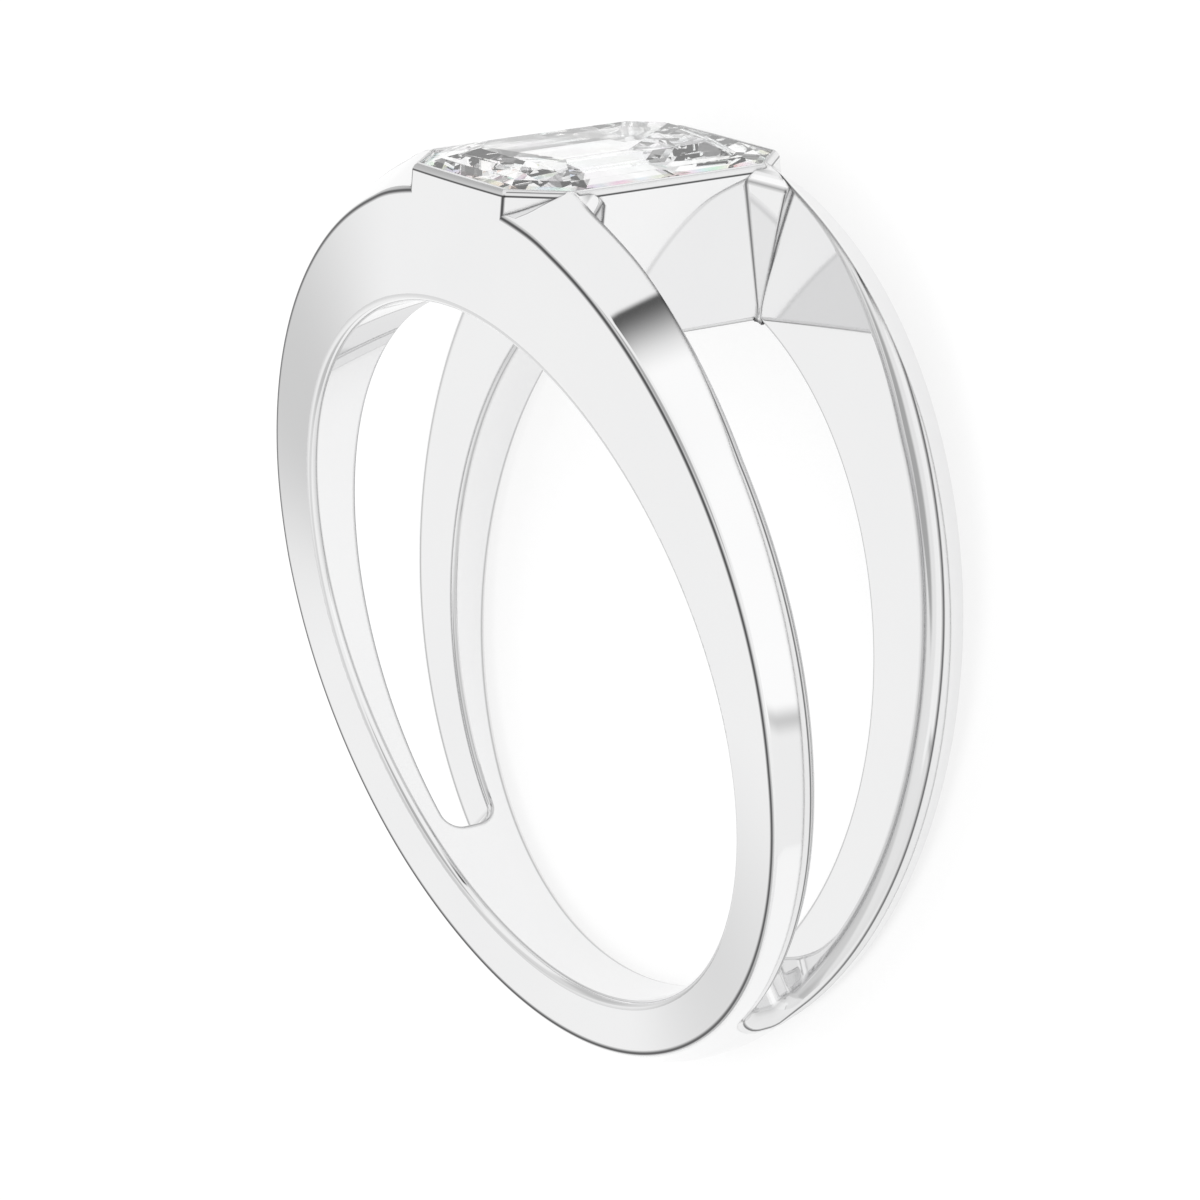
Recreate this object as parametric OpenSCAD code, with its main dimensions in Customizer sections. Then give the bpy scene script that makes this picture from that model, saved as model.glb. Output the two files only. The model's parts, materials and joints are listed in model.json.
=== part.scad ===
// Split shank ring with one emerald-cut stone in a full bezel head.
// It is drawn as worn first: x runs across the finger, y along it and z up through the head.
// lay_down() then rests it on one side, as a ring lies by itself on a table.

/* [Finger hole] */
// Diameter of the finger hole
finger_d = 17; // [15:0.1:21]

/* [Shank] */
// Thickness of the band at the bottom, at its side edges
band_t = 1.25; // [1:0.05:1.8]
// Thickness of the shoulders beside the head, at their side edges
shoulder_t = 2.6; // [2.2:0.05:3]
// Width of the band at the bottom, on its finger side
band_w = 1.85; // [1.6:0.05:2.4]
// Width over both branches at the head, on the finger side
shoulder_w = 8.25; // [7.9:0.05:9]
// How much wider each side of the band gets from its finger side to its outer edge
band_flare = 0.13; // [0:0.01:0.25]
// How much narrower each side of the shoulders gets from finger side to outer edge
shoulder_lean = 0.28; // [0.1:0.01:0.4]
// Greatest rise of the outer face from its side edge to the edge of the split
ridge_h = 0.7; // [0.4:0.01:0.9]

/* [Split] */
// Width of the split level with the middle of the finger hole
split_w = 2.72; // [2.2:0.05:3.2]
// How much the split widens for each millimetre of height
split_taper = 0.23; // [0.18:0.01:0.25]
// Angle from the head round to the closed end of the split
split_end_a = 137.5; // [125:0.5:145]
// Rounding of the corners at the closed end
split_end_r = 0.45; // [0.2:0.05:0.5]
// Width of the narrow face along each edge of the split
edge_w = 0.3; // [0.15:0.05:0.4]

/* [Head] */
// Height of the rim above the finger hole
head_h = 2.99; // [2.9:0.05:3.4]
// Length of the rim along the finger
rim_len = 7.7; // [7.5:0.05:8]
// Width of the rim across the finger
rim_w = 6.2; // [6:0.05:6.6]
// Length taken off each corner of the rim
rim_cut = 1.22; // [1:0.02:1.4]
// Bevel round the top of the rim
rim_bevel = 0.11; // [0.05:0.01:0.15]
// How far the end walls stand out from the sides of the shank
wall_proud = 0.06; // [0.03:0.01:0.1]
// Length of the corner webs along the side walls, at the top
web_len = 0.8; // [0.4:0.05:1]
// Reach of the corner webs along the branches, at the top
web_w = 0.66; // [0.3:0.02:0.8]

/* [Stone] */
// Length of the stone at its girdle
stone_len = 7.1; // [6.8:0.05:7.2]
// Width of the stone at its girdle
stone_w = 5.6; // [5.3:0.05:5.7]
// Length taken off each corner of the stone
stone_cut = 1; // [0.8:0.02:1.2]
// Thickness of the girdle
girdle_t = 0.12; // [0.06:0.01:0.2]
// Height of the crown over the girdle
crown_h = 0.4; // [0.3:0.02:0.6]
// Length of the table
table_len = 5.1; // [4.4:0.05:5.6]
// Width of the table
table_w = 3.15; // [2.6:0.05:3.8]
// Depth of the pavilion under the girdle
pavilion_h = 2.45; // [2:0.05:2.5]
// Depth of the girdle's upper edge under the rim
stone_drop = 0.06; // [0.02:0.01:0.2]
// Clear space all round the stone
stone_gap = 0.05; // [0.03:0.01:0.1]
// Length of the window under the stone
window_len = 3.4; // [2.4:0.1:4]
// Width of the window under the stone
window_w = 2; // [1.4:0.1:2.4]

/* [Hidden] */
$fn = 96;
finger_r = finger_d / 2;
rim_z = finger_r + head_h;
rim_foot_z = rim_z - rim_bevel;
angle_step = 5;
// Length that is longer than any part of the ring, for cutters
big = 2 * finger_d;
// How far parts start inside the finger hole, before it is cut
inside = 1.2;

// Sections of the shank from the head round to the bottom.
// share: how far the side-edge thickness has grown from band_t towards shoulder_t.
// rise: share of ridge_h between the side edge and the edge of the split.
SECTIONS = [
    // angle, share, rise
    [0, 1, 0.36],
    [10, 1, 0.6],
    [15, 1, 1],
    [20, 0.96, 0.9],
    [30, 0.88, 0.93],
    [45, 0.73, 0.96],
    [60, 0.58, 0.92],
    [75, 0.44, 0.82],
    [90, 0.31, 0.72],
    [105, 0.23, 0.55],
    [120, 0.16, 0.38],
    [135, 0.1, 0.3],
    [150, 0.04, 0.38],
    [165, 0.01, 0.46],
    [180, 0, 0.5],
];
last = len(SECTIONS) - 1;

// A smooth curve through one column of the table
function row(i) = SECTIONS[max(0, min(last, i))];
function slope(i, c) = (row(i + 1)[c] - row(i - 1)[c]) / (row(i + 1)[0] - row(i - 1)[0]);
function place(a, i = 0) = i >= last - 1 || a < SECTIONS[i + 1][0] ? i : place(a, i + 1);
function column(a, c) =
    let (
        i = place(a),
        span = row(i + 1)[0] - row(i)[0],
        t = (a - row(i)[0]) / span,
        m0 = i == 0 ? 0 : slope(i, c) * span,
        m1 = i == last - 1 ? 0 : slope(i + 1, c) * span
    )
    (1 + 2 * t) * (1 - t) * (1 - t) * row(i)[c] + t * (1 - t) * (1 - t) * m0
        + t * t * (3 - 2 * t) * row(i + 1)[c] + t * t * (t - 1) * m1;

// Half widths and radii of the shank at an angle from the head, and the crown between the crests
crest_h = 0.03;
function side_in(a) = (band_w + shoulder_w) / 4 + (shoulder_w - band_w) / 4 * cos(a);
function lean(a) = cos(a) * (cos(a) > 0 ? shoulder_lean : band_flare);
function side_out(a) = side_in(a) - lean(a);
function edge_r(a) = finger_r + band_t + (shoulder_t - band_t) * column(a, 1);
function split_half(z) = split_w / 2 + split_taper / 2 * z;
function rise(a) = ridge_h * column(a, 2);
function crest_r(a) = edge_r(a) + rise(a) + crest_h;

// A point of the ring from its angle, its radius and its place along the finger
function at(a, r, y) = [r * sin(a), y, r * cos(a)];

// Half of one section, from the finger side to the crest, on the side that s names
function half_section(a, s) =
    let (
        u = abs(a),
        r = edge_r(u),
        w = side_out(u),
        g = split_half(r * cos(u)),
        per_mm = rise(u) / (w - g),
        deep = inside * lean(u) / (r - finger_r)
    )
    [
        at(a, finger_r - inside, s * (side_in(u) + deep)),
        at(a, r, s * w),
        at(a, r + per_mm * (w - g - edge_w), s * (g + edge_w)),
        at(a, r + rise(u), s * g),
        at(a, crest_r(u), s * g / 2),
    ];
function backwards(l) = [for (i = [len(l) - 1:-1:0]) l[i]];
function section(a) = concat(half_section(a, 1), backwards(half_section(a, -1)));

// Skin of triangles between loops of equal length
function skin(n, m, closed) = [
    for (j = [0:closed ? n - 1 : n - 2], i = [0:m - 1])
        let (k = (i + 1) % m, q = (j + 1) % n)
        each [[j * m + i, q * m + i, j * m + k], [j * m + k, q * m + i, q * m + k]]
];

// Solid through a stack of loops, with flat ends
module loft(loops) {
    n = len(loops);
    m = len(loops[0]);
    polyhedron(
        points = [for (l = loops) each l],
        faces = concat(
            skin(n, m, false),
            [[for (i = [0:m - 1]) i]],
            [[for (i = [m - 1:-1:0]) (n - 1) * m + i]]
        )
    );
}

// Solid through loops that run all the way round
module hoop(loops) {
    polyhedron(points = [for (l = loops) each l], faces = skin(len(loops), len(loops[0]), true));
}

// Rectangle with cut corners, at one height
function octagon(w, l, cut, z) =
    let (x = w / 2, y = l / 2)
    [
        [x - cut, -y, z], [x, cut - y, z], [x, y - cut, z], [x - cut, y, z],
        [cut - x, y, z], [-x, y - cut, z], [-x, cut - y, z], [cut - x, -y, z],
    ];

// The finger hole, right through
module finger_hole() {
    rotate([90, 0, 0]) cylinder(r = finger_r, h = big, center = true, $fn = 180);
}

// Length of the head block at a height: the end walls lean out towards the finger
function wall_len(z) =
    rim_len + (shoulder_w + 2 * wall_proud - rim_len) * (rim_foot_z - z) / (rim_foot_z - finger_r);

module head_block() {
    foot = finger_r - inside;
    loft([
        octagon(rim_w, wall_len(foot), rim_cut, foot),
        octagon(rim_w, rim_len, rim_cut, rim_foot_z),
        octagon(rim_w - 2 * rim_bevel, rim_len - 2 * rim_bevel, rim_cut - 0.6 * rim_bevel, rim_z),
    ]);
}

// One loop of the cutter for a split: a four-sided outline at an angle.
// share is how much of the split's width it has, less than 1 at the rounded closed end.
function split_loop(a, share) =
    let (
        r0 = finger_r - inside,
        r1 = finger_r + 2 * shoulder_t,
        w0 = share * split_half(r0 * cos(a)),
        w1 = share * split_half(r1 * cos(a))
    )
    [at(a, r0, w0), at(a, r1, w1), at(a, r1, -w1), at(a, r0, -w0)];

// The split on the +x side, from the side wall of the head to its rounded closed end
module split_cut() {
    r_mid = finger_r + band_t / 2;
    end_half = split_half(finger_r * cos(split_end_a));
    rounding = [for (t = [0, 15, 30, 45, 60, 75, 90]) [
        split_end_a - split_end_r * (1 - cos(t)) / r_mid * 180 / PI,
        1 - split_end_r / end_half * (1 - sin(t)),
    ]];
    open = [for (a = [10:25:110]) [a, 1]];
    difference() {
        loft([for (c = concat(open, backwards(rounding))) split_loop(c[0], c[1])]);
        translate([rim_w / 2 - big, -big / 2, -big / 2]) cube(big);
        web();
        mirror([0, 1, 0]) web();
    }
}

// Corner of a split that stays filled, between the side wall of the head and a branch.
// Each loop is a triangle that reaches a little into the wall and into the branch.
function web_loop(z, l, w) =
    let (x = rim_w / 2, y = split_half(z), more = 0.1, more_y = more * l / w)
    [[x - more, y - l - more_y, z], [x + w + more, y + more_y, z], [x - more, y + more_y, z]];
module web() {
    foot_len = web_len / 20;
    foot_w = web_w / 6;
    loft([
        web_loop(finger_r - inside, foot_len, foot_w),
        web_loop(finger_r - inside / 5, foot_len, foot_w),
        web_loop(rim_z, web_len, web_w),
    ]);
}

module on_both_sides() {
    children();
    mirror([1, 0, 0]) children();
}

// Outline of the stone at a height, smaller by in_w and in_l on each side, grown by extra all round
function stone_loop(z, in_w, in_l, extra, cut = stone_cut) =
    octagon(stone_w - 2 * in_w + 2 * extra, stone_len - 2 * in_l + 2 * extra, cut + 0.6 * extra, z);

girdle_z = rim_z - stone_drop;
girdle_low = girdle_z - girdle_t;
keel_w = 0.1;
keel_len = 1.8;
// Steps of the cut: share of the height, share of the way in, share of the corner cut that is left
CROWN = [[0.42, 0.26, 0.91], [0.76, 0.58, 0.8], [1, 1, 0.65]];
PAVILION = [[0.3, 0.19, 0.82], [0.64, 0.5, 0.51], [1, 1, 0.02]];

function stone_loops(extra, crown) =
    concat(
        [for (s = backwards(PAVILION))
            stone_loop(
                girdle_low - s[0] * pavilion_h, s[1] * (stone_w - keel_w) / 2,
                s[1] * (stone_len - keel_len) / 2, extra, s[2] * stone_cut
            )],
        [stone_loop(girdle_low, 0, 0, extra), stone_loop(girdle_z, 0, 0, extra)],
        [for (s = crown)
            stone_loop(
                girdle_z + s[0] * crown_h, s[1] * (stone_w - table_w) / 2,
                s[1] * (stone_len - table_len) / 2, extra, s[2] * stone_cut
            )]
    );

// Room for the stone, open at the top, with a window to the finger hole
module stone_pocket() {
    loft(concat(stone_loops(stone_gap, []), [stone_loop(rim_z + 1, 0, 0, stone_gap)]));
    translate([-window_w / 2, -window_len / 2, 0]) cube([window_w, window_len, rim_z - pavilion_h / 2]);
}

// The ring rests on the outer edge of the band and on the foot of one end wall of the head
foot_x = rim_w / 2 - rim_cut;
foot_z = sqrt(finger_r * finger_r - foot_x * foot_x);
foot_y = wall_len(foot_z) / 2;
band_y = side_out(180);
rest_tilt = atan((foot_y - band_y) / (foot_z + edge_r(180)));
rest_drop = cos(rest_tilt) * foot_y - sin(rest_tilt) * foot_z;
head_reach = cos(rest_tilt) * (girdle_z + crown_h) + sin(rest_tilt) * table_len / 2;
band_reach = cos(rest_tilt) * crest_r(180) + sin(rest_tilt) * split_half(-crest_r(180)) / 2;
module lay_down() {
    translate([0, (band_reach - head_reach) / 2, rest_drop]) rotate([rest_tilt - 90, 0, 0]) children();
}

module split_shank() {
    color("gainsboro") lay_down() difference() {
        union() {
            difference() {
                hoop([for (a = [-180:angle_step:180 - angle_step]) section(a)]);
                on_both_sides() split_cut();
            }
            head_block();
        }
        finger_hole();
        stone_pocket();
    }
}

module stone() {
    color("white") lay_down() loft(stone_loops(0, CROWN));
}

split_shank();
stone();
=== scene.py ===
"""Split shank ring of polished white gold with one emerald-cut stone, lying on its side on a pale floor.

Sizes are in millimetres and the ring is drawn as worn first: x runs across the finger, y along it and z up
through the head. LAY then puts it where it rests. Angles are in degrees, and round the finger they count
from the head.
"""
import json
import math

import bmesh
import bpy
from mathutils import Matrix, Vector
from mathutils.bvhtree import BVHTree
from mathutils.interpolate import poly_3d_calc


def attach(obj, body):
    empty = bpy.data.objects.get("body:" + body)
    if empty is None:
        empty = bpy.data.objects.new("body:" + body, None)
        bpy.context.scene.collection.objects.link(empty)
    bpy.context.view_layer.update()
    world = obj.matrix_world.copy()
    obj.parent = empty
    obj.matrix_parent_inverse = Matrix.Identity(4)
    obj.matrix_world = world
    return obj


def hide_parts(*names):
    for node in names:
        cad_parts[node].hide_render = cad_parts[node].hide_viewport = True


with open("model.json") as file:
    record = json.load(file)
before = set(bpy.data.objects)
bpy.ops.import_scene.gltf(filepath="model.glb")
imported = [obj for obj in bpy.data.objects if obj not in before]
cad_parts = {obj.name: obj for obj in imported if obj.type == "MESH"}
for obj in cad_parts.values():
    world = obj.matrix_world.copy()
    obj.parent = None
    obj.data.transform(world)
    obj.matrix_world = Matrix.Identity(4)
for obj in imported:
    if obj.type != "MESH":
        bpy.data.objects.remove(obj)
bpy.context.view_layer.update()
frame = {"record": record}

# Shank
FINGER_R = 8.5
BAND_T, SHOULDER_T = 1.25, 2.6
BAND_W, SHOULDER_W = 1.85, 8.25
BAND_FLARE, SHOULDER_LEAN = 0.13, 0.28
RIDGE_H, CREST_H = 0.8, 0.03
# Split
SPLIT_W, SPLIT_TAPER = 2.72, 0.23
SPLIT_START, SPLIT_END, SPLIT_END_R = 10, 137.5, 0.45
# Head
RIM_Z, RIM_LEN, RIM_W, RIM_CUT = 11.49, 7.7, 6.2, 1.22
RIM_BEVEL, RIM_ROUND_H, HEAD_CORNER = 0.11, 0.17, 0.07
# The end walls stand out of the shank's sides from WALL_FREE_Z up, and sink into them below it
HEAD_PROUD, HEAD_SINK, WALL_FREE_Z, WALL_BLEND = 0.003, 0.009, 10.9, 0.3
# Corners that stay filled: their size at the foot and at the rim, and how their top is rounded and closed
WEB_LEN, WEB_W, WEB_TOP_Z = 0.8, 0.66, 11.05
WEB_FOOT_LEN, WEB_FOOT_W = WEB_LEN / 20, WEB_W / 6
WEB_ROUND_H, WEB_ROUND_W = 0.32, 0.2
WEB_CAP_H, WEB_CAP_BACK = 0.05, 0.4
WEB_OVERLAP = 0.1
# Stone
STONE_LEN, STONE_W, STONE_CUT = 7.1, 5.6, 1.0
GIRDLE_T, CROWN_H, PAVILION_H = 0.12, 0.4, 2.45
TABLE_LEN, TABLE_W = 5.1, 3.15
KEEL_LEN, KEEL_W = 1.8, 0.1
STONE_DROP, STONE_GAP = 0.06, 0.05
WINDOW_LEN, WINDOW_W = 3.4, 2.0
# How much longer the cut at a corner gets for each millimetre that an outline grows
CUT_GROWTH = 0.6
# Mouth of the stone's pocket: height over the rim, growth of the outline
POCKET_MOUTH = ((-0.035, 0), (-0.01, 0.015), (0.03, 0.06), (1, 0.06))
# Heights of the band in which the stone's colour holds strong painted fire, the coloured light a cut stone
# splits
PAINTED_FIRE_BAND = (11.42, 11.505)
# Roundings of the polished edges
BORE_ROUND = 0.22
SPLIT_BORE_ROUND = 0.15
SPLIT_OUTER_ROUND = 0.46
SIDE_ROUND = 0.09
FOOT_ROUND = 0.12
WEB_FILLET = 0.08
# Steepest angle of a rounding that a cutter leaves, and how far the cutter flares on from there
BORE_STEEP, BORE_FLARE = 78, 0.6
SPLIT_BORE_STEEP, SPLIT_BORE_FLARE = 75, 0.5
SPLIT_OUTER_STEEP, SPLIT_OUTER_FLARE = 78, 2.2
# Share that the split's outer rounding and its painted dark reflection have at the head, the angle from which
# they grow to their full strength, and over how many degrees
NEAR_HEAD_ROUND, ROUND_GROWS = 0.2, (18, 35)
NEAR_HEAD_DARK_REFLECTION, DARK_REFLECTION_GROWS = 0.5, (20, 30)

# How dark a painted line each loop leaves on the metal's colour, from 0 to 1: painted dark reflections that
# stand in for the dark studio mirrored in rounded edges. The side edge's width is how far its line fades out
# onto the side face
EDGE_DARK_REFLECTION, EDGE_DARK_REFLECTION_W = (0.9, 0.95, 0.25, 0, 0, 0), 0.06
BORE_DARK_REFLECTION = (0, 0.45, 0.1, 0, 0, 0.05, 0.2, 0.2, 0)
SPLIT_DARK_REFLECTION = (0, 0.2, 0.45, 0.1, 0, 0.3, 0, 0, 0.3, 0.15, 0.12, 0.12, 0.12, 0.7, 0.95, 0.1, 0, 0)
WEB_TOP_DARK_REFLECTION = (0, 0.6, 0, 0, 0, 0.7)
# The same for the points of one loop: painted shade in the hollowed fillets of the webs, and a painted dark
# reflection at the head's rounded corners
WALL_FILLET_PAINTED_SHADE, BRANCH_FILLET_PAINTED_SHADE = (0, 0.3, 0.8, 0.8, 0.3, 0), (0, 0, 0.75, 0, 0, 0)
HEAD_CORNER_DARK_REFLECTION = (0, 0.9, 0.9, 0)
# Loops that round the foot of the head and its rim: angle, darkness of the painted dark reflection
FOOT_LOOPS = ((75, 0), (60, 0.5), (45, 0.5), (30, 0.2), (15, 0.1), (0, 0))
RIM_LOOPS = ((0, 0), (6, 0.95), (14, 0.9), (20, 0.1), (45, 0.08), (70, 0.1), (80, 0.4), (90, 0))
# Angle of the rim up to which the head's corners have their painted dark reflection
CORNER_DARK_REFLECTION_END = 10
# Mark that makes the metal glow: painted light on the walls of the stone's pocket
PAINTED_GLOW_MARK = -1

# How far parts start inside the finger hole, before it is cut
INSIDE = 1.2
# Radius and half length that lie past all metal, for cutters
FAR_R, FAR_Y = FINGER_R + 6, 7
BAND_MID_R = FINGER_R + BAND_T / 2
RIM_FOOT = RIM_Z - RIM_ROUND_H
GIRDLE_Z = RIM_Z - STONE_DROP
GIRDLE_LOW = GIRDLE_Z - GIRDLE_T
# How finely shapes are divided
SWEEP_STEPS, ROUND_STEPS, CROWN_STEPS = 360, 5, 7
ANGLE_STEP, SPLIT_STEPS = 1.5, 83
END_WALL_PARTS = 16
# Points that lie closer than this are merged: in the sweep, in any closed solid, in the finished shank
SWEEP_MERGE, SOLID_MERGE, SHANK_MERGE = 1e-4, 1e-6, 2e-5

# Angle from the head, share of the way from band to shoulder thickness, share of the ridge height
SECTIONS = (
    (0, 1, 0.36), (10, 1, 0.6), (15, 1, 1), (20, 0.96, 0.94), (30, 0.88, 0.97), (45, 0.73, 1),
    (60, 0.58, 0.96), (75, 0.44, 0.87), (90, 0.31, 0.77), (105, 0.23, 0.6), (120, 0.16, 0.41),
    (135, 0.1, 0.29), (150, 0.04, 0.35), (165, 0.01, 0.41), (180, 0, 0.45),
)

# The record states where the finger hole lies and which way it leans
hole = next(m for m in frame["record"]["mounts"] if m["name"] == "finger_hole")
TILT = math.atan2(-hole["axis"][1], hole["axis"][2])
LAY = Matrix.Translation(hole["pos_m"]) @ Matrix.Rotation(TILT - math.pi / 2, 4, "X") @ Matrix.Scale(0.001, 4)


class Wire:
    """One output of a node. A sum written on wires adds its Math nodes."""

    def __init__(self, tree, socket):
        self.tree, self.socket = tree, socket

    def math(self, operation, *others):
        return self.tree.node("ShaderNodeMath", {"operation": operation}, (self, *others))

    def __add__(self, other):
        return self.math("ADD", other)

    __radd__ = __add__

    def __mul__(self, other):
        return self.math("MULTIPLY", other)

    def __sub__(self, other):
        return self.math("SUBTRACT", other)

    def __rsub__(self, other):
        return self.tree.node("ShaderNodeMath", {"operation": "SUBTRACT"}, (other, self))

    def __truediv__(self, other):
        return self.math("DIVIDE", other)


class Tree:
    """Makes the nodes of a material, a world or a geometry tree."""

    def __init__(self, tree):
        self.tree = tree
        tree.nodes.clear()

    def node(self, kind, settings=None, sockets=(), out=0):
        """Adds a node and returns one of its outputs. A socket takes a wire or a plain value."""
        made = self.tree.nodes.new(kind)
        for name, value in (settings or {}).items():
            if name == "points":
                curve = made.mapping.curves[0]
                while len(curve.points) < len(value):
                    curve.points.new(0.5, 0.5)
                for point, place in zip(curve.points, value):
                    point.location = place
                    point.handle_type = "AUTO"
                made.mapping.update()
            elif name == "items":
                for _ in range(value - len(made.index_switch_items)):
                    made.index_switch_items.new()
            else:
                setattr(made, name, value)
        pairs = sockets.items() if isinstance(sockets, dict) else enumerate(sockets)
        for name, value in pairs:
            if isinstance(value, Wire):
                self.tree.links.new(value.socket, made.inputs[name])
            elif value is not None:
                made.inputs[name].default_value = value
        return Wire(self, made.outputs[out]) if len(made.outputs) else made

    def other(self, wire, name):
        """Another output of the node that a wire comes from."""
        return Wire(self, wire.socket.node.outputs[name])

    def mix(self, factor, a, b, blend="MIX"):
        """Mixes two colours."""
        return self.node("ShaderNodeMix", {"data_type": "RGBA", "blend_type": blend},
                         {0: factor, 6: a, 7: b}, out=2)

    def noise(self, place, scale, detail, out=0):
        return self.node("ShaderNodeTexNoise", {}, {"Vector": place, "Scale": scale, "Detail": detail}, out)

    def dot(self, a, b):
        return self.node("ShaderNodeVectorMath", {"operation": "DOT_PRODUCT"}, (a, b), out="Value")


def link(thing):
    """Puts an object in the scene."""
    bpy.context.scene.collection.objects.link(thing)
    return thing


def mesh_object(name, points, faces, matrix=None, lines=None):
    """Object with a mesh, and with how dark the painted line (a painted dark reflection or shade) is at each
    point.
    """
    mesh = bpy.data.meshes.new(name)
    mesh.from_pydata([tuple(p) for p in points], [], faces)
    if lines:
        mesh.attributes.new("line", "FLOAT", "POINT").data.foreach_set("value", lines)
    if matrix:
        mesh.transform(matrix)
    mesh.update()
    return link(bpy.data.objects.new(name, mesh))


def merge_doubles(thing, distance, turn_out=False):
    """Merges points that lie close together and, if asked, turns every face outwards."""
    work = bmesh.new()
    work.from_mesh(thing.data)
    bmesh.ops.remove_doubles(work, verts=work.verts, dist=distance)
    if turn_out:
        bmesh.ops.recalc_face_normals(work, faces=work.faces)
    work.to_mesh(thing.data)
    work.free()
    return thing


def loft(name, loops, lines=None):
    """Closed solid through loops with the same number of points.

    lines has a mark, or a list of them, for each loop: how dark the painted line is there, or the painted
    glow where it is below 0.
    """
    n, m = len(loops), len(loops[0])
    points = [p for loop in loops for p in loop]
    faces = [
        (j * m + i, j * m + (i + 1) % m, (j + 1) * m + (i + 1) % m, (j + 1) * m + i)
        for j in range(n - 1) for i in range(m)
    ]
    faces += [tuple(range(m)), tuple((n - 1) * m + i for i in range(m))]
    marks = []
    for mark in lines or [0] * n:
        marks += mark if isinstance(mark, list) else [mark] * m
    return merge_doubles(mesh_object(name, points, faces, lines=marks), SOLID_MERGE, turn_out=True)


def column(angle, c):
    """Smooth value of one column of SECTIONS at an angle."""
    last = len(SECTIONS) - 1

    def row(k):
        return SECTIONS[min(max(k, 0), last)]

    def slope(k):
        return (row(k + 1)[c] - row(k - 1)[c]) / (row(k + 1)[0] - row(k - 1)[0])

    i = max(k for k in range(last) if SECTIONS[k][0] <= angle)
    span = row(i + 1)[0] - row(i)[0]
    t = (angle - row(i)[0]) / span
    start = 0 if i == 0 else slope(i) * span
    end = 0 if i == last - 1 else slope(i + 1) * span
    return ((1 + 2 * t) * (1 - t) ** 2 * row(i)[c] + t * (1 - t) ** 2 * start
            + t * t * (3 - 2 * t) * row(i + 1)[c] + t * t * (t - 1) * end)


def cosine(angle):
    return math.cos(math.radians(angle))


def sine(angle):
    return math.sin(math.radians(angle))


def ramp(value, start, span):
    """0 up to start, then evenly up to 1 over a span."""
    return min(1, max(0, (value - start) / span))


def bend(a, corner, b, t):
    """Point at t on the curve from a to b that rounds a corner."""
    return a * (1 - t) ** 2 + corner * (2 * t * (1 - t)) + b * t ** 2


def side_in(angle):
    """Half width of the shank on its finger side."""
    return (BAND_W + SHOULDER_W) / 4 + (SHOULDER_W - BAND_W) / 4 * cosine(angle)


def side_out(angle):
    """Half width of the shank at its outer edge."""
    c = cosine(angle)
    return side_in(angle) - c * (SHOULDER_LEAN if c > 0 else BAND_FLARE)


def side_lean(angle):
    """How far the side moves in for each millimetre outwards."""
    return (side_in(angle) - side_out(angle)) / (edge_r(angle) - FINGER_R)


def edge_r(angle):
    """Radius of the shank's side edge."""
    return FINGER_R + BAND_T + (SHOULDER_T - BAND_T) * column(angle, 1)


def split_half(z):
    """Half width of the split at a height."""
    return SPLIT_W / 2 + SPLIT_TAPER / 2 * z


def outer_r(angle, y):
    """Radius of the outer face at an angle and a distance along the finger."""
    angle, y = min(abs(angle), 180), abs(y)
    edge, wide = edge_r(angle), side_out(angle)
    crest = split_half(edge * cosine(angle))
    rise = RIDGE_H * column(angle, 2)
    if y > crest:
        return edge + rise * ((wide - y) / (wide - crest))
    return edge + rise + CREST_H * min(1, (crest - y) * 2 / crest)


def at(angle, r, y):
    """Point at an angle, a radius and a distance along the finger."""
    a = math.radians(angle)
    return (r * math.sin(a), y, r * math.cos(a))


def octagon(w, l, cut, z, soft=0):
    """Rectangle with cut corners at a height, each of its eight corners rounded over a length if asked."""
    x, y = w / 2, l / 2
    corners = [(x - cut, -y, z), (x, cut - y, z), (x, y - cut, z), (x - cut, y, z),
               (cut - x, y, z), (-x, y - cut, z), (-x, cut - y, z), (cut - x, -y, z)]
    if not soft:
        return corners
    points = []
    for i, corner in enumerate(corners):
        corner = Vector(corner)
        a = corner + (Vector(corners[i - 1]) - corner).normalized() * soft
        b = corner + (Vector(corners[(i + 1) % 8]) - corner).normalized() * soft
        points += [bend(a, corner, b, t) for t in (0, 0.33, 0.67, 1)]
    return [tuple(p) for p in points]


SHANK_SIZES = {
    "Finger hole radius": FINGER_R, "Band thickness": BAND_T, "Shoulder thickness": SHOULDER_T,
    "Band width": BAND_W, "Shoulder width": SHOULDER_W, "Band flare": BAND_FLARE,
    "Shoulder lean": SHOULDER_LEAN, "Ridge height": RIDGE_H, "Crest height": CREST_H,
    "Split width": SPLIT_W, "Split taper": SPLIT_TAPER, "Depth inside": INSIDE,
    "Side edge rounding": SIDE_ROUND,
}


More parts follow.
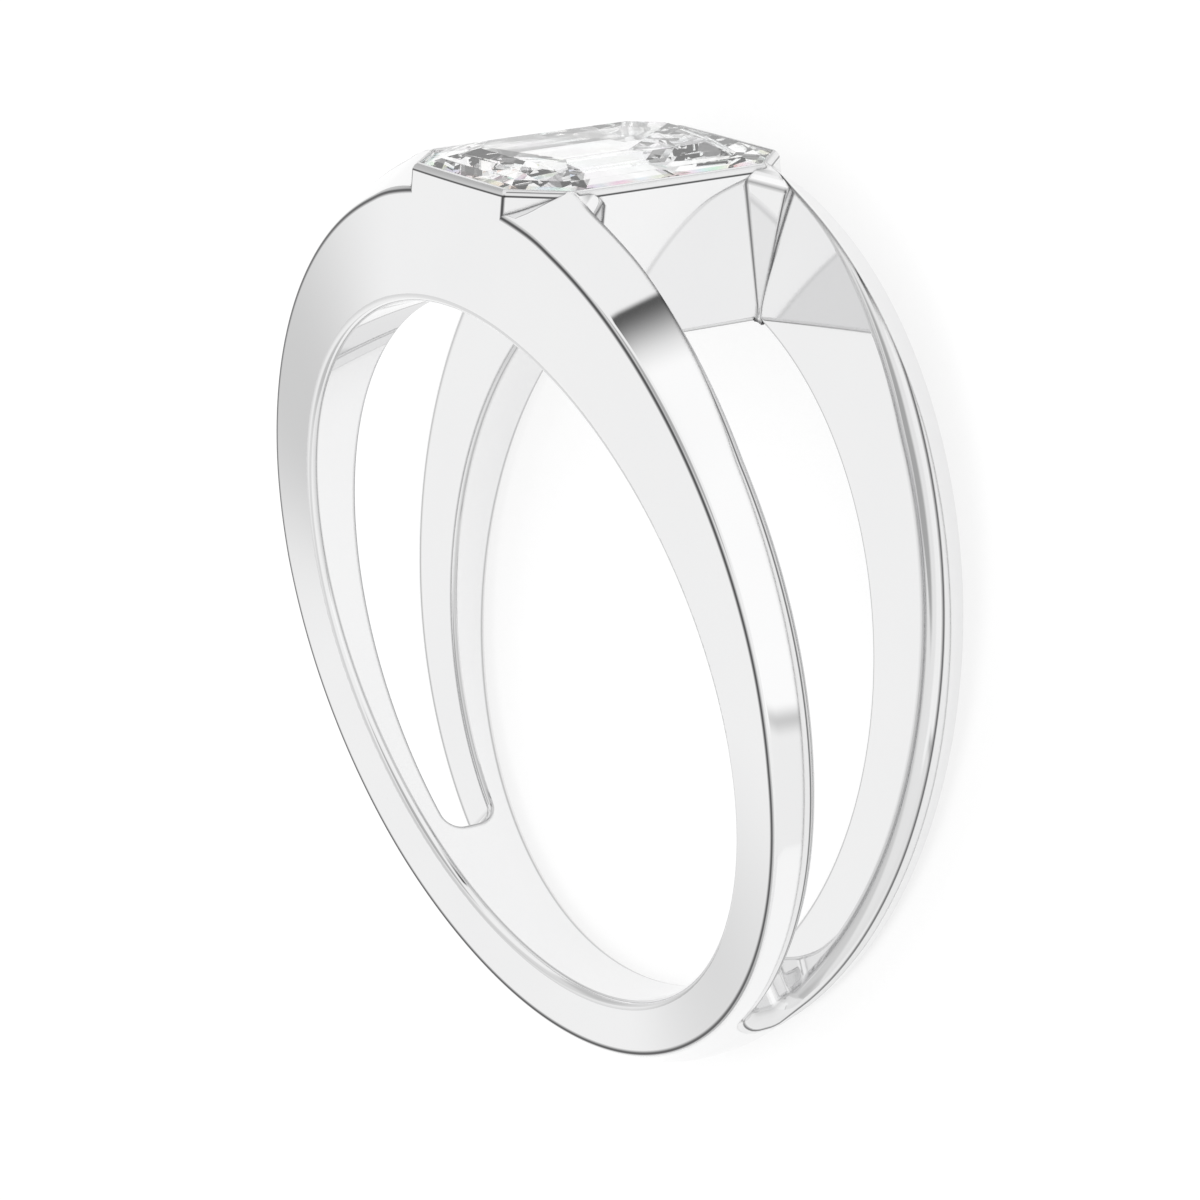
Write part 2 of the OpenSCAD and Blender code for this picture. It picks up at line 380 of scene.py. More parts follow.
def shank_tree(steps):
    """Sweeps the section of the shank round the finger, with its side edges rounded."""
    group = bpy.data.node_groups.new("Shank swept round the finger", "GeometryNodeTree")
    tree = Tree(group)
    for name, value in SHANK_SIZES.items():
        group.interface.new_socket(name, in_out="INPUT", socket_type="NodeSocketFloat").default_value = value
    group.interface.new_socket("Metal", in_out="INPUT", socket_type="NodeSocketMaterial")
    group.interface.new_socket("Geometry", in_out="OUTPUT", socket_type="NodeSocketGeometry")
    first = tree.node("NodeGroupInput")
    size = {name: tree.other(first, name) for name in (*SHANK_SIZES, "Metal")}

    # A grid: its x runs round the finger, and its y round the section, one half after the other
    half = ROUND_STEPS + CROWN_STEPS + 5
    around = 2 * half
    grid = tree.node("GeometryNodeMeshGrid", {}, (steps, around, steps + 1, around + 1))
    place = tree.node("GeometryNodeInputPosition")
    across = tree.node("ShaderNodeSeparateXYZ", {}, (place,))
    turn = (across.math("ABSOLUTE") / steps).math("MINIMUM", 0.5) * 2
    signed = across / steps * (2 * math.pi)
    step = (tree.other(across, "Y") + half).math("ROUND").math("MODULO", around)
    low = step.math("LESS_THAN", half - 0.5)
    side = low * 2 - 1
    index = low * step + (1 - low) * (around - 1 - step)

    # The section at this angle
    cos = (turn * math.pi).math("COSINE")
    share = tree.node("ShaderNodeFloatCurve", {"points": [(a / 180, s) for a, s, _ in SECTIONS]}, (1.0, turn))
    rise = tree.node("ShaderNodeFloatCurve", {"points": [(a / 180, s) for a, _, s in SECTIONS]}, (1.0, turn))
    rise = rise * size["Ridge height"]
    inner = size["Finger hole radius"]
    edge = inner + size["Band thickness"] + (size["Shoulder thickness"] - size["Band thickness"]) * share
    wide_in = (size["Band width"] + size["Shoulder width"]) / 4 \
        + (size["Shoulder width"] - size["Band width"]) / 4 * cos
    up = cos.math("GREATER_THAN", 0)
    lean = cos * (up * size["Shoulder lean"] + (1 - up) * size["Band flare"])
    wide = wide_in - lean
    crest = size["Split width"] / 2 + size["Split taper"] / 2 * edge * cos
    fall = rise / (wide - crest)
    deep = size["Depth inside"] * lean / (edge - inner)
    small = size["Side edge rounding"]

    # Radius and half width of each point of one half, from the finger side to the crest
    line_start = small + EDGE_DARK_REFLECTION_W
    rs = [inner - size["Depth inside"], edge - line_start]
    ys = [wide_in + deep, wide + line_start * lean / (edge - inner)]
    before = (edge - small, wide + small * lean / (edge - inner))
    after = (edge + small * fall, wide - small)
    for k in range(ROUND_STEPS + 1):
        t = k / ROUND_STEPS
        for values, corner, b, a in ((rs, edge, before[0], after[0]), (ys, wide, before[1], after[1])):
            values.append(bend(b, corner, a, t))
    for k in range(1, CROWN_STEPS + 1):
        t = k / (CROWN_STEPS + 1)
        rs.append(after[0] * (1 - t) + (edge + rise) * t)
        ys.append(after[1] * (1 - t) + crest * t)
    rs += [edge + rise, edge + rise + size["Crest height"]]
    ys += [crest, crest / 2]
    # Marks of the painted dark reflection along the rounded side edge
    marks = [0.0] * half
    marks[2:ROUND_STEPS + 3] = EDGE_DARK_REFLECTION

    pick = {"data_type": "FLOAT", "items": half}
    r = tree.node("GeometryNodeIndexSwitch", pick, (index, *rs))
    mark = tree.node("GeometryNodeIndexSwitch", pick, (index, *marks))
    y = tree.node("GeometryNodeIndexSwitch", pick, (index, *ys)) * side
    spot = tree.node("ShaderNodeCombineXYZ", {}, (r * signed.math("SINE"), y, r * signed.math("COSINE")))
    # The marks of the painted dark reflection are stored first, because they depend on the places in the grid
    marked = tree.node("GeometryNodeStoreNamedAttribute", {"data_type": "FLOAT", "domain": "POINT"},
                       {"Geometry": grid, "Name": "line", "Value": mark})
    swept = tree.node("GeometryNodeSetPosition", {}, {"Geometry": marked, "Position": spot})
    closed = tree.node("GeometryNodeMergeByDistance", {}, {"Geometry": swept, "Distance": SWEEP_MERGE})
    real = tree.node("GeometryNodeRealizeInstances", {}, (closed,))
    done = tree.node("GeometryNodeSetMaterial", {}, {"Geometry": real, "Material": size["Metal"]})
    tree.node("NodeGroupOutput", {}, {"Geometry": done})
    return group


def finger_cutter():
    """Cutter for the finger hole, flared at both ends so that the edges of the hole come out rounded."""
    levels = [(BORE_ROUND * (1 - cosine(t)), BORE_ROUND * (sine(t) - 1))
              for t in range(0, BORE_STEEP + 1, 13)]
    grow, along = levels[-1]
    levels.append((grow + BORE_FLARE, along + BORE_FLARE / math.tan(math.radians(BORE_STEEP))))
    angles = [k * ANGLE_STEP for k in range(-120, 120)]
    loops = []
    for grow, along in levels:
        loops.append([at(a, FINGER_R + grow, side_in(abs(a)) + along - grow * side_lean(abs(a)))
                      for a in angles])
    loops.append([at(a, FINGER_R + levels[-1][0], FAR_Y) for a in angles])
    mirrored = [[(x, -y, z) for x, y, z in loop] for loop in reversed(loops)]
    # The marks paint a dark reflection onto the rounded edges of the finger hole
    return loft("Finger hole cutter", mirrored + loops, BORE_DARK_REFLECTION[::-1] + BORE_DARK_REFLECTION)


def split_line():
    """Edge of the split: angle, share of the split's width, turn round the closed end."""
    line = [(SPLIT_START + ANGLE_STEP * k, 1.0, 0.0) for k in range(SPLIT_STEPS)]
    end_half = split_half(FINGER_R * cosine(SPLIT_END))
    for t in range(0, 91, 10):
        line.append((SPLIT_END - math.degrees(SPLIT_END_R * (1 - sine(t)) / BAND_MID_R),
                     1 - SPLIT_END_R / end_half * (1 - cosine(t)), t))
    return line


def split_levels():
    """Loops of a split's cutter from the finger hole outwards: kind, how far up, how far out.

    Up and out are in millimetres at the finger hole, and shares of the rounding further out.
    """
    f = SPLIT_BORE_ROUND
    levels = [("bore", f * (1 - sine(t)), f * (1 - cosine(t))) for t in range(SPLIT_BORE_STEEP, -1, -15)]
    _, up, out = levels[0]
    flare = SPLIT_BORE_FLARE * math.tan(math.radians(SPLIT_BORE_STEEP))
    levels.insert(0, ("bore", up - SPLIT_BORE_FLARE, out + flare))
    turns = (0, 14, 28, 42, 56, 66, 71, 74, SPLIT_OUTER_STEEP)
    levels += [("outer", sine(t) - 1, 1 - cosine(t)) for t in turns]
    _, up, out = levels[-1]
    flare = SPLIT_OUTER_FLARE / math.tan(math.radians(SPLIT_OUTER_STEEP))
    levels.append(("outer", up + flare, out + SPLIT_OUTER_FLARE))
    levels.append(("far", 0, levels[-1][2]))
    return levels


def split_cutter():
    """Cutter for one split, wider where it leaves the metal so that its edges come out rounded."""
    line, rows = split_line(), []
    for kind, up, out in split_levels():
        row = []
        for a, share, t in line:
            o = 1 if kind == "bore" else \
                SPLIT_OUTER_ROUND * (NEAR_HEAD_ROUND + (1 - NEAR_HEAD_ROUND) * ramp(a, *ROUND_GROWS))
            c, s = cosine(t), sine(t)
            mid = share * split_half(BAND_MID_R * cosine(a))
            if kind == "bore":
                r = FINGER_R + up
            elif kind == "outer":
                top = outer_r(a, mid)
                near = outer_r(a + math.degrees(o * s / top), mid + o * c)
                fall = (top - near) / o
                r = top - fall * o - o * (math.hypot(1, fall) - 1) + up * o
            else:
                r = FAR_R
            half = mid if kind == "far" else share * split_half(r * cosine(a))
            row.append(at(a + math.degrees(out * o * s / r), r, half + out * o * c))
        rows.append(row)
    n, m = len(rows), len(rows[0])
    points = [p for row in rows for p in row] + [(x, -y, z) for row in rows for x, y, z in row]
    flip = n * m
    faces = []
    # Both sides, the two ends between them, then the faces at the finger hole and at the outside
    for j in range(n - 1):
        for i in range(m - 1):
            q = (j * m + i, j * m + i + 1, (j + 1) * m + i + 1, (j + 1) * m + i)
            faces += [q, tuple(flip + k for k in reversed(q))]
        faces += [(j * m, (j + 1) * m, flip + (j + 1) * m, flip + j * m),
                  (j * m + m - 1, (j + 1) * m + m - 1, flip + (j + 1) * m + m - 1, flip + j * m + m - 1)]
    for j in (0, n - 1):
        for i in range(m - 1):
            faces.append((j * m + i, j * m + i + 1, flip + j * m + i + 1, flip + j * m + i))
    # Painted dark reflection on the split's roundings, weaker near the head
    marks = [mark * (NEAR_HEAD_DARK_REFLECTION + (1 - NEAR_HEAD_DARK_REFLECTION) * ramp(a, *DARK_REFLECTION_GROWS))
             for mark in SPLIT_DARK_REFLECTION for a, _, _ in line]
    cutter = mesh_object("Split cutter", points, faces, lines=marks * 2)
    return merge_doubles(cutter, SOLID_MERGE, turn_out=True)


def crest_z(x):
    """Height of the crest of a branch at a distance from the middle of the head."""
    angle = math.degrees(math.asin(x / (FINGER_R + SHOULDER_T + RIDGE_H)))
    return outer_r(angle, split_half(RIM_Z)) * cosine(angle)


def web(side, way):
    """Filled corner between the side wall of the head and a branch, hollowed along both its edges."""
    def loop(z, l, w, back, top=False):
        # At the top, z is the height over the crest of the branch
        x = RIM_W / 2 - back
        y = split_half(z + crest_z(RIM_W / 2 + w / 2) if top else z) + back
        wall, branch = Vector((x, y - l)), Vector((x + w, y))
        along = (branch - wall).normalized()
        f = min(WEB_FILLET, (branch - wall).length / 3)
        line = [(x - WEB_OVERLAP, y - l - f)]
        for a, corner, b in ((wall - Vector((0, f)), wall, wall + along * f),
                             (branch - along * f, branch, branch + Vector((f, 0)))):
            line += [tuple(bend(a, corner, b, t)) for t in (0, 0.2, 0.4, 0.6, 0.8, 1)]
        line += [(x + w + f, y + WEB_OVERLAP), (x - WEB_OVERLAP, y + WEB_OVERLAP)]
        return [(way * u, side * v, z + crest_z(u) if top else z) for u, v in line]

    foot_z = FINGER_R - INSIDE / 5
    foot = [loop(z, WEB_FOOT_LEN, WEB_FOOT_W, 0) for z in (FINGER_R - INSIDE, foot_z)]
    share = (WEB_TOP_Z - foot_z) / (RIM_Z - foot_z)
    l = WEB_FOOT_LEN + (WEB_LEN - WEB_FOOT_LEN) * share
    w = WEB_FOOT_W + (WEB_W - WEB_FOOT_W) * share
    rounded = [loop(WEB_ROUND_H * (sine(t) - 1), l, w, WEB_ROUND_W * (1 - cosine(t)), True)
               for t in (0, 15, 30, 45, 60, 75)]
    # Painted shade in the hollowed fillets, and a painted dark reflection on the rounded top
    edges = [0, *WALL_FILLET_PAINTED_SHADE, *BRANCH_FILLET_PAINTED_SHADE, 0, 0]
    marks = [edges, edges] + [[max(m, e) for e in edges] for m in WEB_TOP_DARK_REFLECTION] + [0]
    return loft("Web", foot + rounded + [loop(WEB_CAP_H, l, w, WEB_CAP_BACK, True)], marks)


def head_block():
    """The head as one block. Its end walls carry on the sides of the shank up to the rim."""
    def loop(w, inset, z):
        corners = octagon(w, RIM_LEN, RIM_CUT, z, HEAD_CORNER)
        half, line = len(corners) // 2, []
        for i, p in enumerate(corners):
            line.append(p)
            if i % half == half - 1:  # an end wall starts here
                q = corners[(i + 1) % len(corners)]
                line += [(p[0] + (q[0] - p[0]) * k / END_WALL_PARTS, p[1], z)
                         for k in range(1, END_WALL_PARTS)]
        ends = []
        for x, y, _ in line:
            angle = abs(math.degrees(math.atan2(x, z)))
            lean = cosine(angle) * SHOULDER_LEAN / (edge_r(angle) - FINGER_R)
            sink = HEAD_SINK * ramp(WALL_FREE_Z - z, 0, WALL_BLEND)
            side = side_in(angle) - lean * (math.hypot(x, z) - FINGER_R) + HEAD_PROUD - sink
            ends.append((x, math.copysign(abs(y) * side / (RIM_LEN / 2), y), z))
        reach = max(abs(p[1]) for p in ends)
        return [(x * (1 - 2 * inset / w), y * (1 - inset / reach), z) for x, y, z in ends]

    foot_z = math.sqrt(FINGER_R ** 2 - (RIM_W / 2) ** 2)
    loops = [loop(RIM_W - 4 * FOOT_ROUND, 0, FINGER_R - INSIDE)]
    marks = [0]
    for t, mark in FOOT_LOOPS:
        loops.append(loop(RIM_W - 2 * FOOT_ROUND * (1 - cosine(t)), 0, foot_z + FOOT_ROUND * (1 - sine(t))))
        marks.append(mark)
    # Painted dark reflection on the head's rounded corners, foot and rim
    corners = ([*HEAD_CORNER_DARK_REFLECTION] * 4 + [0] * (END_WALL_PARTS - 1)) * 2
    for below, mark in ((WALL_BLEND, 0), (WALL_BLEND / 2, 0), (0, corners)):
        loops.append(loop(RIM_W, 0, WALL_FREE_Z - below))
        marks.append(mark)
    for t, mark in RIM_LOOPS:
        loops.append(loop(RIM_W, RIM_BEVEL * (1 - cosine(t)), RIM_FOOT + RIM_ROUND_H * sine(t)))
        marks.append([max(mark, corner) for corner in corners] if t < CORNER_DARK_REFLECTION_END else mark)
    return loft("Head block", loops, marks)


# Steps of the cut: share of the height, share of the way in, share of the corner cut that is left
CROWN = ((0.4, 0.32, 0.91), (0.72, 0.66, 0.8), (1, 1, 0.65))
PAVILION = ((0.24, 0.14, 0.86), (0.5, 0.36, 0.65), (0.76, 0.66, 0.35), (1, 1, 0.02))


def stone_loops(extra, crown):
    """Outlines of the stone from its keel up, grown by extra all round."""
    def loop(z, in_w, in_l, cut):
        w, l = STONE_W - 2 * in_w + 2 * extra, STONE_LEN - 2 * in_l + 2 * extra
        return octagon(w, l, cut + CUT_GROWTH * extra, z)

    loops = [loop(GIRDLE_LOW - h * PAVILION_H, s * (STONE_W - KEEL_W) / 2, s * (STONE_LEN - KEEL_LEN) / 2,
                  c * STONE_CUT) for h, s, c in reversed(PAVILION)]
    loops += [loop(GIRDLE_LOW, 0, 0, STONE_CUT), loop(GIRDLE_Z, 0, 0, STONE_CUT)]
    loops += [loop(GIRDLE_Z + h * CROWN_H, s * (STONE_W - TABLE_W) / 2, s * (STONE_LEN - TABLE_LEN) / 2,
                   c * STONE_CUT) for h, s, c in crown]
    return loops


def stone_pocket():
    """Room for the stone, open at the top, with walls that glow: painted light that keeps the stone from
    looking dark.
    """
    loops = stone_loops(STONE_GAP, ())
    marks = [PAINTED_GLOW_MARK] * len(loops) + [0] * len(POCKET_MOUTH)
    w, l, cut = STONE_W + 2 * STONE_GAP, STONE_LEN + 2 * STONE_GAP, STONE_CUT + CUT_GROWTH * STONE_GAP
    for over, more in POCKET_MOUTH:
        loops.append(octagon(w + 2 * more, l + 2 * more, cut + CUT_GROWTH * more, RIM_Z + over))
    return loft("Stone pocket", loops, marks)


def window_cutter():
    """Slot from the finger hole to the stone's pocket."""
    x, y = WINDOW_W / 2, WINDOW_LEN / 2
    corners = [(-x, -y), (x, -y), (x, y), (-x, y)]
    return loft("Window cutter", [[(u, v, z) for u, v in corners] for z in (0, RIM_Z - PAVILION_H / 2)])


def made_real(thing):
    """Turns the object's modifiers into plain mesh."""
    graph = bpy.context.evaluated_depsgraph_get()
    mesh = bpy.data.meshes.new_from_object(thing.evaluated_get(graph), depsgraph=graph)
    thing.modifiers.clear()
    thing.data = mesh
    return thing


# Angle from which an edge stays sharp
SHARP_ANGLE = 32
# How far from a point its skin may lie, and how much a millimetre of distance counts against a face that
# looks the same way
SKIN_REACH, SKIN_AWAY = 0.004, 5


class Skin:
    """A clean surface, before anything is cut from it, that knows its own smooth normals."""

    def __init__(self, thing, side):
        twin = link(bpy.data.objects.new("Skin", thing.data.copy()))
        twin.data.shade_smooth()
        twin.data.set_sharp_from_angle(angle=math.radians(SHARP_ANGLE))
        twin.modifiers.new("Even shading", "WEIGHTED_NORMAL").keep_sharp = True
        made_real(twin)
        mesh = twin.data
        mesh.calc_loop_triangles()
        points = [v.co.copy() for v in mesh.vertices]
        marks = mesh.attributes.get("line")
        marks = [m.value for m in marks.data] if marks else [0] * len(points)
        self.side = side
        self.marks = [[marks[v] for v in t.vertices] for t in mesh.loop_triangles]
        self.corners = [[points[v] for v in t.vertices] for t in mesh.loop_triangles]
        self.normals = [[mesh.corner_normals[c].vector.copy() for c in t.loops] for t in mesh.loop_triangles]
        self.tree = BVHTree.FromPolygons(points, [tuple(t.vertices) for t in mesh.loop_triangles])
        bpy.data.objects.remove(twin)

    def distance(self, point):
        return self.tree.find_nearest(point)[3]

    def shade(self, point, like):
        """Smooth normal and painted line mark of this skin next to a point, on a face that looks the same
        way.
        """
        found = self.tree.find_nearest_range(point, SKIN_REACH) or [self.tree.find_nearest(point)]
        spot, _, index, _ = max(found, key=lambda f: f[1].dot(like) * self.side - f[3] * SKIN_AWAY)
        a, b, c = self.corners[index]
        weights = poly_3d_calc((a, b, c), spot)
        normal = sum((n * w for n, w in zip(self.normals[index], weights)), Vector())
        return (normal * self.side).normalized(), sum(m * w for m, w in zip(self.marks[index], weights))


def shade_from(thing, skins):
    """Gives each face the smooth normals and the painted line marks of the surface that it was cut from."""
    mesh = thing.data
    normals, marks = [None] * len(mesh.loops), [0.0] * len(mesh.loops)
    for face in mesh.polygons:
        near = min(skins, key=lambda skin: skin.distance(face.center))
        for corner in face.loop_indices:
            point = mesh.vertices[mesh.loops[corner].vertex_index].co
            normals[corner], marks[corner] = near.shade(point, face.normal)
    mesh.shade_smooth()
    mesh.normals_split_custom_set(normals)
    if "line" in mesh.attributes:
        mesh.attributes.remove(mesh.attributes["line"])
    mesh.attributes.new("line", "FLOAT", "CORNER").data.foreach_set("value", marks)


def grey(level):
    return (level, level, level, 1)


def new_material(name):
    """A material, its empty tree, and the place on the object."""
    made = bpy.data.materials.new(name)
    made.use_nodes = True
    tree = Tree(made.node_tree)
    return made, tree, tree.node("ShaderNodeTexCoord", out="Object")


# Colour of the painted lines, which are painted dark reflections on edges and painted shade in creases, and
# the painted glow of the pocket's walls
PAINTED_DARK_COLOUR = (0.03, 0.03, 0.032, 1)
POCKET_PAINTED_GLOW = grey(0.18)
# Painted shade in creases, and painted dark reflections at sharp edges, that the marks leave out, found with
# a
# Bevel node: samples, radius in metres, strength, threshold, darkest
PAINTED_CREASE_SAMPLES, PAINTED_CREASE_R, PAINTED_CREASE_GAIN, PAINTED_CREASE_FROM, PAINTED_CREASE_MOST = 6, 1.5e-4, 12, 0.25, 0.9


def metal_material():
    """Polished white gold with a buffed surface's faint unevenness; painted dark reflections line its edges,
    painted shade its creases.
    """
    made, tree, place = new_material("Polished white gold")
    haze = tree.noise(place, 350.0, 3.0)
    rub = tree.noise(place, 9000.0, 2.0)
    colour = tree.mix(haze, (0.85, 0.85, 0.855, 1), grey(0.875))
    line = tree.node("ShaderNodeAttribute", {"attribute_name": "line"}, out="Fac")
    soft = tree.node("ShaderNodeBevel", {"samples": PAINTED_CREASE_SAMPLES}, {"Radius": PAINTED_CREASE_R})
    plain = tree.node("ShaderNodeNewGeometry", out="Normal")
    alike = tree.dot(soft, plain)
    painted_crease_dark = ((1 - alike) * PAINTED_CREASE_GAIN - PAINTED_CREASE_FROM).math("MINIMUM", PAINTED_CREASE_MOST)
    # Painted dark reflections from the marks and painted shade from the creases darken the colour
    dark = line.math("MAXIMUM", painted_crease_dark).math("MAXIMUM", 0.0)
    colour = tree.mix(dark, colour, PAINTED_DARK_COLOUR)
    # Painted light: the walls of the stone's pocket glow
    bright = (line * PAINTED_GLOW_MARK).math("MAXIMUM", 0.0)
    glow = tree.mix(bright, grey(0), POCKET_PAINTED_GLOW)
    rough = 0.028 + haze * 0.02 + rub * 0.012 + dark * 0.1
    shader = tree.node("ShaderNodeBsdfPrincipled", {}, {
        "Base Color": colour, "Metallic": 1.0, "Roughness": rough,
        "Emission Color": glow, "Emission Strength": 1.0})
    tree.node("ShaderNodeOutputMaterial", {}, (shader,))
    return made


# How much painted fire, coloured light split by the stone, shows in its colour in the whole stone and in the
# band along the rim
PAINTED_FIRE, BAND_PAINTED_FIRE = 0.14, 0.6


def stone_material():
    """Clear stone with faint painted fire in its colour, and strong painted fire in a narrow band along the
    rim.
    """
    made, tree, place = new_material("Clear stone")
    # Painted fire: coloured light that the cut stone splits, put into its colour
    fire = tree.noise(place, 900.0, 1.0, out="Color")
    faint = tree.mix(1.0, fire, grey(0.48), "ADD")
    colour = tree.mix(PAINTED_FIRE, grey(1), faint)
    rise = (LAY.to_3x3() @ Vector((0, 0, 1))).normalized()
    height = tree.dot(place, rise)
    low, high = (rise.dot(LAY @ Vector((0, 0, z))) for z in PAINTED_FIRE_BAND)
    # Strong painted fire in the band along the rim
    band = height.math("GREATER_THAN", low) * height.math("LESS_THAN", high)
    vivid = tree.node("ShaderNodeHueSaturation", {}, {"Saturation": 2.6, "Value": 0.8, "Color": fire})
    colour = tree.mix(band * BAND_PAINTED_FIRE, colour, vivid)
    shader = tree.node("ShaderNodeBsdfPrincipled", {},
                       {"Base Color": colour, "Roughness": 0.0, "IOR": 2.2, "Transmission Weight": 1.0})
    tree.node("ShaderNodeOutputMaterial", {}, (shader,))
    return made


def floor_material():
    """Pale board that gives off light of its own, so that shadows on it stay light."""
    made, tree, place = new_material("Pale board")
    tooth = tree.noise(place, 60.0, 4.0)
    colour = tree.mix(tooth, grey(0.29), grey(0.31))
    shader = tree.node("ShaderNodeBsdfPrincipled", {}, {
        "Base Color": colour, "Roughness": 0.9, "Specular IOR Level": 0.0,
        "Emission Color": grey(1), "Emission Strength": 0.72})
    tree.node("ShaderNodeOutputMaterial", {}, (shader,))
    return made


def add_boolean(thing, tool, operation):
    step = thing.modifiers.new(tool.name, "BOOLEAN")
    step.operation, step.solver, step.object = operation, "MANIFOLD", tool


def build_shank(metal):
    """The swept shank with its splits cut, the head joined on, and the holes cut through both."""
    group = shank_tree(SWEEP_STEPS)
    shank = mesh_object("White_gold_shank", [(0, 0, 0)], [])
    sweep = shank.modifiers.new("Sweep", "NODES")
    sweep.node_group = group
    for item in group.interface.items_tree:
        if item.in_out == "INPUT" and item.name in SHANK_SIZES:
            sweep[item.identifier] = SHANK_SIZES[item.name]
        elif item.in_out == "INPUT":
            sweep[item.identifier] = metal
    merge_doubles(made_real(shank), SOLID_MERGE, turn_out=True)
    right = split_cutter()
    webs = [web(side, way) for way in (1, -1) for side in (1, -1)]
    for piece in webs[:2]:
        add_boolean(right, piece, "DIFFERENCE")
    made_real(right)
    left = link(bpy.data.objects.new("Left split cutter", right.data.copy()))
    left.data.transform(Matrix.Scale(-1, 4, (1, 0, 0)))
    merge_doubles(left, SOLID_MERGE, turn_out=True)
    steps = [(right, "DIFFERENCE"), (left, "DIFFERENCE"), (head_block(), "UNION"),
             (finger_cutter(), "DIFFERENCE"), (stone_pocket(), "DIFFERENCE"), (window_cutter(), "DIFFERENCE")]
    skins = [Skin(shank, 1)] + [Skin(piece, 1) for piece in webs]
    for tool, operation in steps:
        add_boolean(shank, tool, operation)
        skins.append(Skin(tool, 1 if operation == "UNION" else -1))
    merge_doubles(made_real(shank), SHANK_MERGE)
    shade_from(shank, skins)
    shank.data.transform(LAY)
    for tool in [tool for tool, _ in steps] + webs:
        bpy.data.objects.remove(tool)
    shank.data.materials.clear()
    shank.data.materials.append(metal)
    return shank


def build_stone(material):
    stone = loft("Emerald_cut_stone", stone_loops(0, CROWN))
    stone.data.transform(LAY)
    stone.data.materials.append(material)
    return stone


def build_camera():
    """The photograph's place and angle to the ring as worn, carried over to where the ring lies."""
    azimuth, elevation, roll, distance = 55.8664, 16.9543, -0.45485, 107.781
    target = Vector((-0.0143, 0, 0.9307))
    a, e = math.radians(azimuth), math.radians(elevation)
    back = Vector((math.sin(a) * math.cos(e), -math.cos(a) * math.cos(e), math.sin(e)))
    right = Vector((math.cos(a), math.sin(a), 0))
    up = back.cross(right)
    c, s = cosine(roll), sine(roll)
    right, up = c * right + s * up, c * up - s * right
    pose = Matrix((right, up, back)).transposed().to_4x4()
    pose.translation = target + back * distance
    data = bpy.data.cameras.new("Camera")
    data.lens, data.sensor_width, data.sensor_fit = 138.088, 36, "HORIZONTAL"
    data.clip_start, data.clip_end = 0.005, 20
    camera = link(bpy.data.objects.new("Camera", data))
    place = LAY @ pose
    camera.matrix_world = Matrix.LocRotScale(place.translation, place.to_quaternion(), None)
    bpy.context.scene.camera = camera


def build_floor():
    """A square board in metres, a hair under the ring."""
    half, under = 1.5, 2e-6
    floor = mesh_object("Floor", [(-half, -half, 0), (half, -half, 0), (half, half, 0), (-half, half, 0)],
                        [(0, 1, 2, 3)], Matrix.Translation((0, 0, -under)))
    floor.data.materials.append(floor_material())


# Studio round the ring. Each card or gap: from, to, softness (degrees from +Y towards +X), low, high,
# softness (degrees above the floor), brightness
STUDIO = {
    "ceiling": (-25, 108, 10, 60, 95, 6, 0.5),
    "wall behind the card": (117, 178, 3, -30, 18, 6, 0.97),
    "long white card": (24, 114, 3, -30, 40, 5, 1.12),
    "upper end of the card": (104, 124, 3, 25, 36, 3, 1.14),
    "seam beside the card": (113.5, 116.5, 2, -30, 20, 6, 0.62),
    "gap between the cards": (5.5, 15, 1, 24, 42, 3, 0.1),
    "dim corner": (-122, -98, 10, -10, 14, 10, 0.65),
    "doorway": (-178, -150, 8, -30, 22, 8, 0.6),
    "grey curtain": (-80, -50, 8, -30, 30, 8, 0.6),
}
STUDIO_SOFT_RIGHT = {"gap between the cards": 9}
# The dark frame round the pane that the sides of the ring mirror: azimuth and height of its middle,
# how far out it starts and ends, how soft it is there, brightness
PANE_FRAME = (-120, 29, 32, 58, 2, 5, 0.8)
DEGREES = 180 / math.pi


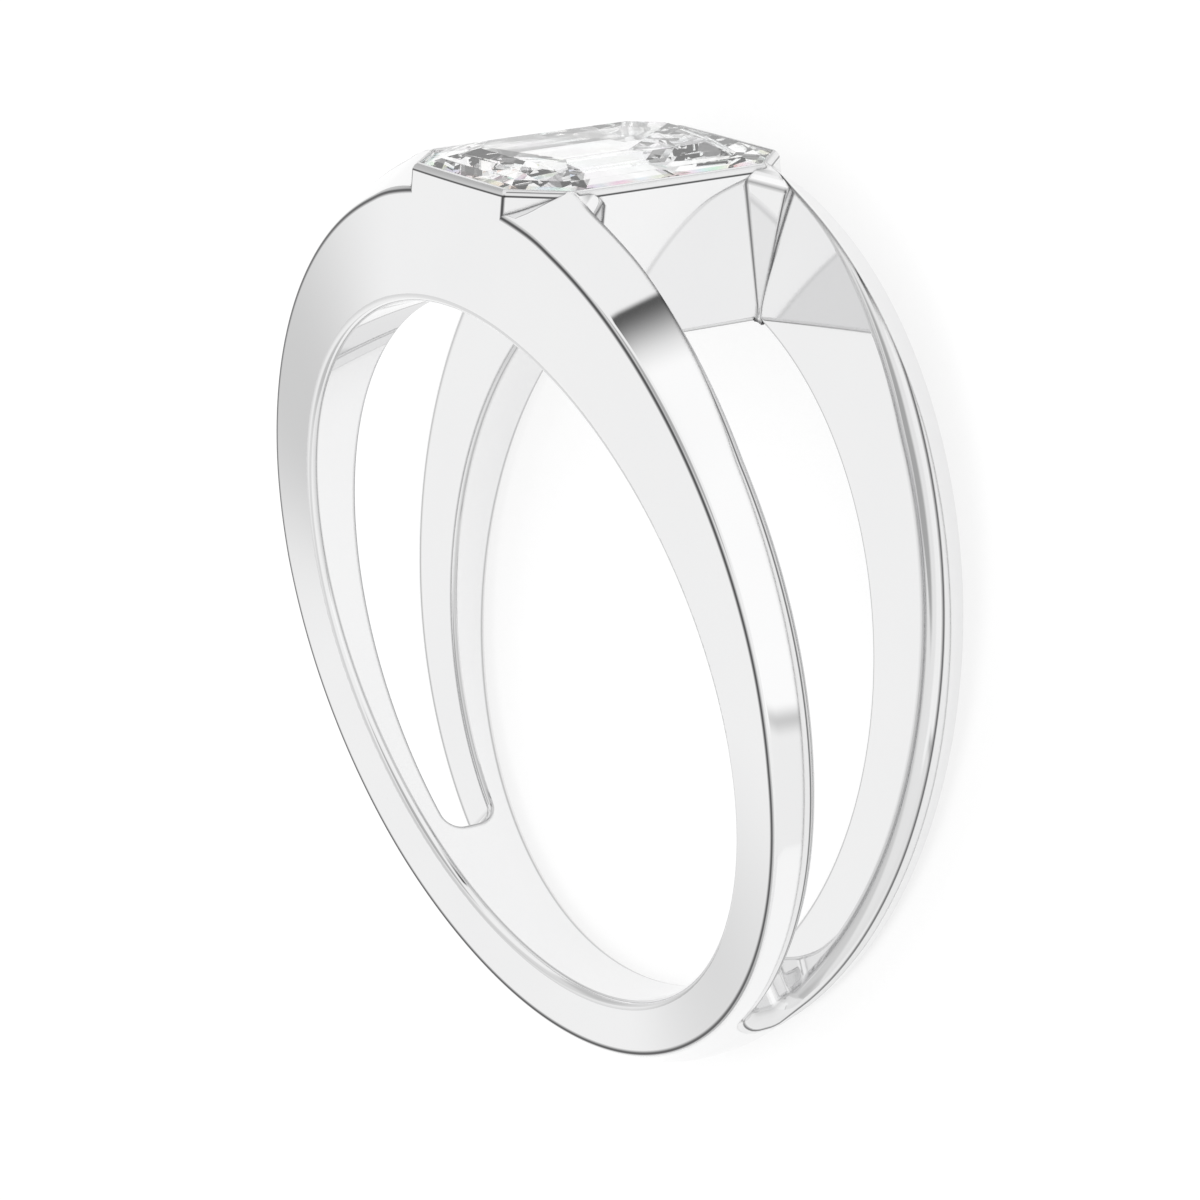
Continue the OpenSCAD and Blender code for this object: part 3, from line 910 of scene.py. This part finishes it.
def build_world():
    """White studio with the cards and gaps that the metal mirrors."""
    world = bpy.data.worlds.new("White studio")
    bpy.context.scene.world = world
    world.use_nodes = True
    tree = Tree(world.node_tree)
    direction = tree.node("ShaderNodeTexCoord", out="Generated")
    x = tree.node("ShaderNodeSeparateXYZ", {}, (direction,))
    y, z = tree.other(x, "Y"), tree.other(x, "Z")
    turn = x.math("ARCTAN2", y) * DEGREES
    rise = z.math("ARCSINE") * DEGREES

    def above(value, edge, soft):
        return tree.node("ShaderNodeMapRange", {"interpolation_type": "SMOOTHSTEP"},
                         (value, edge - soft, edge + soft))

    azimuth, elevation, start, end, start_soft, end_soft, bright = PANE_FRAME
    a, e = math.radians(azimuth), math.radians(elevation)
    near = x * (math.sin(a) * math.cos(e)) + y * (math.cos(a) * math.cos(e)) + z * math.sin(e)
    away = near.math("ARCCOSINE") * DEGREES
    masks = [(above(away, start, start_soft) * (1 - above(away, end, end_soft)), bright)]
    for name, (start, end, side_soft, low, high, top_soft, bright) in STUDIO.items():
        right_soft = STUDIO_SOFT_RIGHT.get(name, side_soft)
        masks.append((above(turn, start, side_soft) * (1 - above(turn, end, right_soft))
                      * above(rise, low, top_soft) * (1 - above(rise, high, top_soft)), bright))
    level = 1.0
    for mask, bright in masks:
        level = (1 - mask) * level + mask * bright
    sky = tree.node("ShaderNodeBackground", {}, {"Color": grey(1), "Strength": level})
    tree.node("ShaderNodeOutputWorld", {}, (sky,))


def build_light():
    """A large soft lamp over the floor, which the polished metal doesn't mirror."""
    data = bpy.data.lights.new("Soft lamp", "AREA")
    data.shape, data.size, data.energy = "DISK", 0.7, 1.2
    lamp = link(bpy.data.objects.new("Soft lamp", data))
    lamp.location = (-0.03, 0.05, 0.6)
    lamp.rotation_euler = Vector(lamp.location).to_track_quat("Z", "Y").to_euler()
    lamp.visible_glossy = False
    lamp.visible_transmission = False


build_camera()
build_floor()
build_world()
build_light()
shank = build_shank(metal_material())
stone = build_stone(stone_material())
for piece, node, slot in ((shank, "split_shank", "white_gold"), (stone, "stone", "clear_stone")):
    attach(piece, "root")
    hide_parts(node)
bpy.context.scene.view_settings.view_transform = "Standard"
bpy.context.scene.cycles.glossy_bounces = 8
bpy.context.scene.cycles.max_bounces = 16
